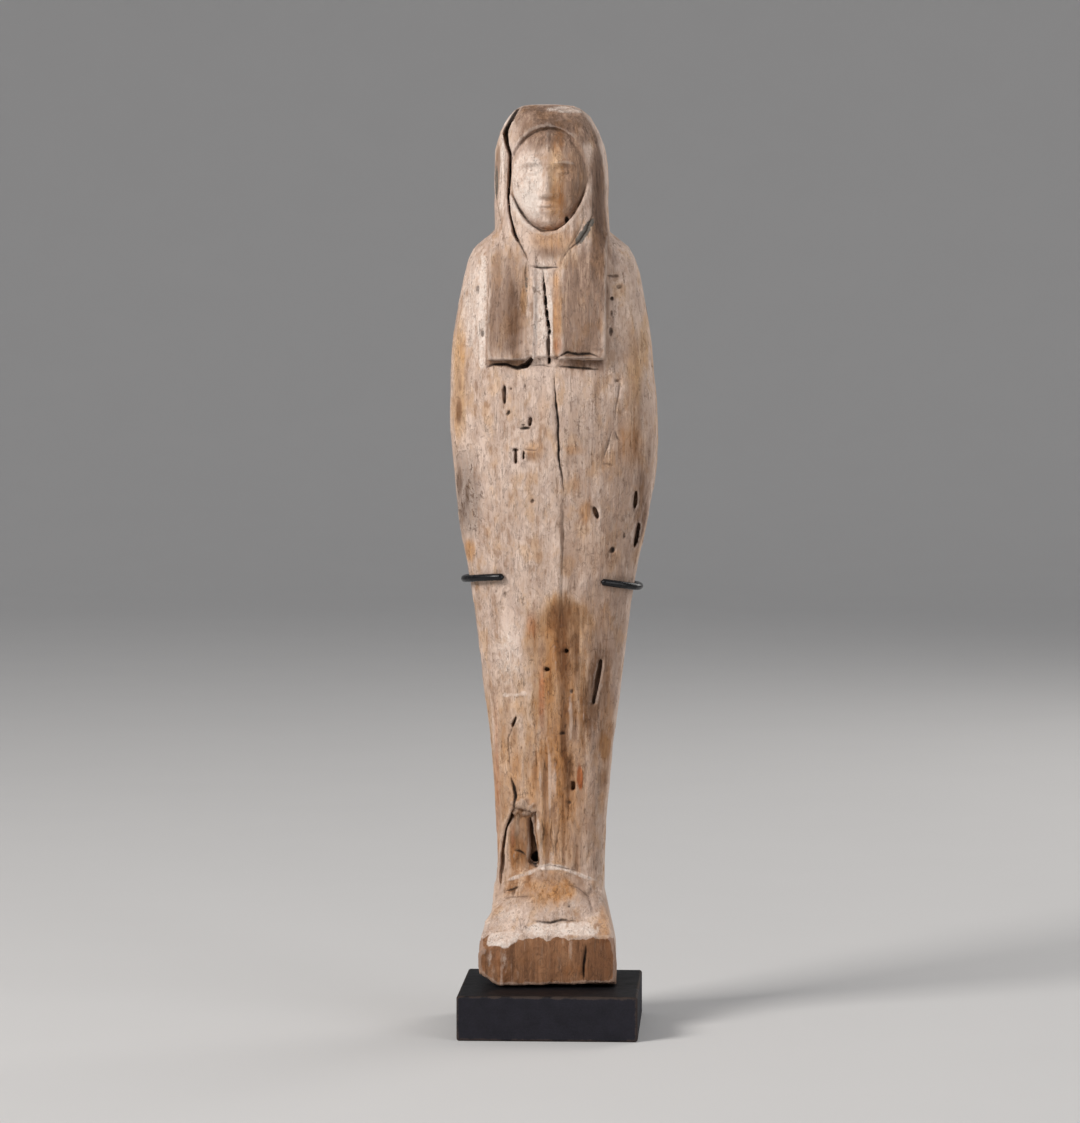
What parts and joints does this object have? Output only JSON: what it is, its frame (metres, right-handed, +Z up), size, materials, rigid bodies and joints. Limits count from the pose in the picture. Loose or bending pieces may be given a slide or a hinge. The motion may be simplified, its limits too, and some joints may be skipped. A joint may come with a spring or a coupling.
{
  "type": "ushabti figurine on a display stand",
  "caption": "Worn wooden ushabti, a mummy-shaped funerary figurine with a tripartite wig, held upright by a small black block, rod and waist wire.",
  "frame": {"origin": "middle of the stand's underside, on the surface it stands on", "axes": "+Z up along the figure; the figure looks towards -Y; +X is to the right of someone facing it"},
  "size_m": [0.047, 0.04, 0.2073],
  "materials": {
    "weathered_wood": "dry carved wood with remains of a pale ground layer, stains and insect holes",
    "black_block": "matte black paint, slightly rubbed along the edges",
    "black_rod": "satin black paint on a thin metal rod",
    "black_sleeve": "glossy black shrink sleeve over wire"
  },
  "bodies": {
    "root": {"ushabti": "weathered_wood", "base_block": "black_block", "upright_rod": "black_rod", "waist_clip": "black_sleeve"}
  },
  "joints": []
}
